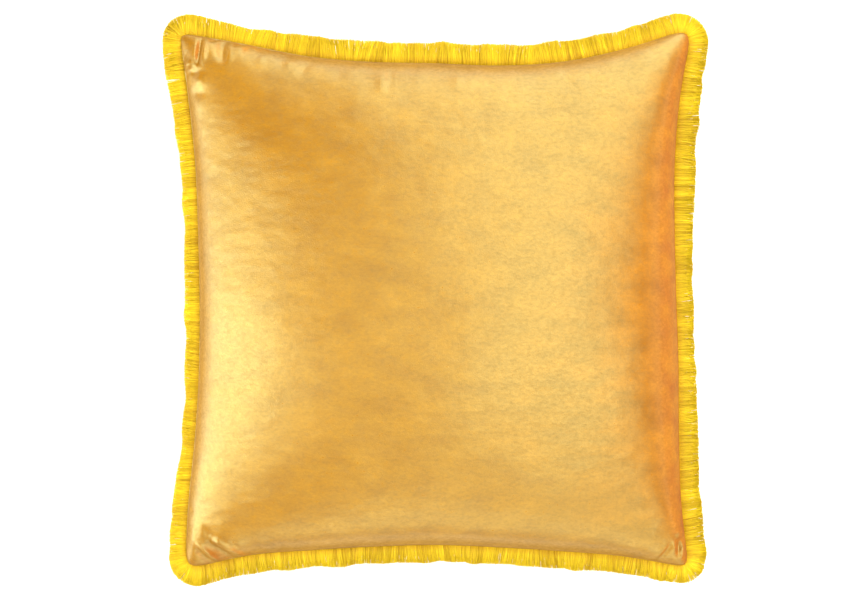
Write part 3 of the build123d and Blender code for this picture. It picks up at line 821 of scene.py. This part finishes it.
MATERIALS = {
    "velvet": velvet(),
    "fringe_yarn": yarn("fringe yarn", (0.47, 0.278, 0.001), (0.76, 0.55, 0.008)),
    "thread": woven("golden thread", (0.50, 0.24, 0.02), (0.66, 0.36, 0.05), 1500),
    "label": woven("label satin", (0.80, 0.79, 0.74), (0.88, 0.87, 0.83), 1200, 0.45),
    "zip_tape": woven("zip tape", (0.50, 0.24, 0.02), (0.64, 0.34, 0.04), 1100, 0.7),
    "zip_coil": lacquered("zip coil nylon", (0.52, 0.25, 0.02), (0.60, 0.31, 0.03), 0.35),
    "zip_metal": lacquered("zip lacquered metal", (0.50, 0.26, 0.03), (0.60, 0.33, 0.05), 0.28, 0.6),
    "casing": woven("insert casing", (0.78, 0.78, 0.75), (0.86, 0.86, 0.84), 700, 0.85),
    "casing_thread": woven("overlock thread", (0.82, 0.82, 0.80), (0.90, 0.90, 0.88), 1500, 0.8),
    "filling": woven("polyester fibre", (0.84, 0.84, 0.83), (0.93, 0.93, 0.92), 240, 0.9),
}


def finish_piece(obj, slot, *nodes, body="cushion"):
    """Gives a finished piece its material, hides the CAD nodes it stands for and attaches it to the body it
    moves with.
    """
    paint(obj, MATERIALS[slot])
    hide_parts(*nodes)
    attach(obj, body)


for part in frame["record"]["subparts"]:
    node = bpy.data.objects.get(part["node"])
    if node is not None:
        paint(node, MATERIALS[part["material_slot"]])

# ---- the zip's coils ----
for name, phase in (("front", 0), ("back", math.pi)):
    coil = coil_piece(f"coil_{name}", f"zip_coil_{name}", phase)
    finish_piece(coil, "zip_coil", f"zip_coil_{name}")

# ---- the cover ----
face = panel_piece("velvet_face", panel_grid(1, 11), 1)
finish_piece(face, "velvet", "front_panel")
back = panel_piece("velvet_back", lower_for_zip(panel_grid(-1, 29)), -1)
finish_piece(back, "velvet", "back_panel")

# ---- inside the seam: the fringe's woven heading and the two threads of the lockstitch ----
HEADING_SECTION = ((0.4, 1), (9.5, 1), (9.5, -1), (0.4, -1))  # inset in millimetres, and upper or lower side
HEADING_RIPPLE = 0.12  # how far its weave waves up and down, in millimetres
heading = ring_piece("fringe_heading", HEADING_SECTION, HALF_HEADING / MM, HEADING_RIPPLE)
# The heading shares the yarn's material. With no along attribute, it takes the painted root shade all over.
finish_piece(heading, "fringe_yarn", "fringe_header_tape")
needle = stitch_piece("needle_thread", 1)
finish_piece(needle, "thread", "seam_needle_thread")
bobbin = stitch_piece("bobbin_thread", -1)
finish_piece(bobbin, "thread", "seam_bobbin_thread")

# ---- the fringe: four edges and four corners ----
EDGE_NAMES = ("bottom", "right", "top", "left")
CORNER_NAMES = ("bottom_left", "bottom_right", "top_right", "top_left")
EDGE_SPACING, CORNER_SPACING = 0.088 * MM, 0.04 * MM  # the seam's length for each yarn
for k, (edge_name, corner_name) in enumerate(zip(EDGE_NAMES, CORNER_NAMES)):
    start, end = CORNER_AT[k] * LOOP_STEP, CORNER_AT[(k + 1) % 4] * LOOP_STEP
    end += SEAM_LENGTH if end < start else 0
    before, after = start - CORNER_REACH, start + CORNER_REACH
    edge = fringe_piece(f"fringe_yarn_{edge_name}", after, end - CORNER_REACH, EDGE_SPACING, 40 + k)
    finish_piece(edge, "fringe_yarn", f"fringe_{edge_name}")
    corner = fringe_piece(f"fringe_yarn_{corner_name}", before, after, CORNER_SPACING, 50 + k)
    finish_piece(corner, "fringe_yarn", f"fringe_corner_{corner_name}")

# ---- studio ----
PHOTO_WIDTH = 0.743  # across the view at the seam
CAMERA_ABOVE = 2.0
CAMERA_X = -0.001  # the photo is centred a little to the left of the pillow's middle
SENSOR = 36  # the camera's, in millimetres
FLOOR_HALF, FLOOR_GAP = 3.0, 0.2 * MM  # half its side, and how far it lies below the pillow


def pale_floor():
    mesh = bpy.data.meshes.new("floor")
    height = cad_low[2] - FLOOR_GAP
    corners = [(x * FLOOR_HALF, y * FLOOR_HALF, height) for x, y in ((-1, -1), (1, -1), (1, 1), (-1, 1))]
    mesh.from_pydata(corners, [], [(0, 1, 2, 3)])
    obj = bpy.data.objects.new("floor", mesh)
    bpy.context.collection.objects.link(obj)
    mat, _, _, shader = material("pale floor")
    shader.inputs["Base Color"].default_value = (0.93, 0.93, 0.93, 1)
    shader.inputs["Roughness"].default_value = 0.9
    paint(obj, mat)
    obj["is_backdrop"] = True


def softbox(name, place, target, width, height, energy):
    light = bpy.data.lights.new(name, "AREA")
    light.shape, light.size, light.size_y, light.energy = "RECTANGLE", width, height, energy
    obj = bpy.data.objects.new(name, light)
    bpy.context.collection.objects.link(obj)
    obj.location = place
    obj.rotation_euler = (Vector(target) - Vector(place)).to_track_quat("-Z", "Y").to_euler()


def camera():
    data = bpy.data.cameras.new("camera")
    data.sensor_width = SENSOR
    data.lens = data.sensor_width * CAMERA_ABOVE / PHOTO_WIDTH
    obj = bpy.data.objects.new("camera", data)
    bpy.context.collection.objects.link(obj)
    obj.location = (CAMERA_X, 0.0, SEAM_Z + CAMERA_ABOVE)
    bpy.context.scene.camera = obj


pale_floor()
# Each softbox: where it is, what it points at, its width and height, and its power in watts.
softbox("overhead", (0.98, 0.6, 2.3), (0.98, 0.6, 0), 2.1, 4.2, 142)
softbox("left", (-2.1, -0.35, 1.15), (-0.1, 0, 0.05), 1.4, 3.0, 118)
softbox("back", (0.75, 2.7, 1.15), (0, 0, 0.05), 2.5, 2.2, 98)
softbox("front fill", (0.3, -2.3, 1.3), (0, 0, 0), 2.6, 1.2, 42)
camera()
world = bpy.data.worlds.new("studio")
bpy.context.scene.world = world
world.use_nodes = True
world.node_tree.nodes["Background"].inputs["Color"].default_value = (1, 1, 1, 1)
world.node_tree.nodes["Background"].inputs["Strength"].default_value = 0.10
bpy.context.scene.view_settings.view_transform = "Standard"
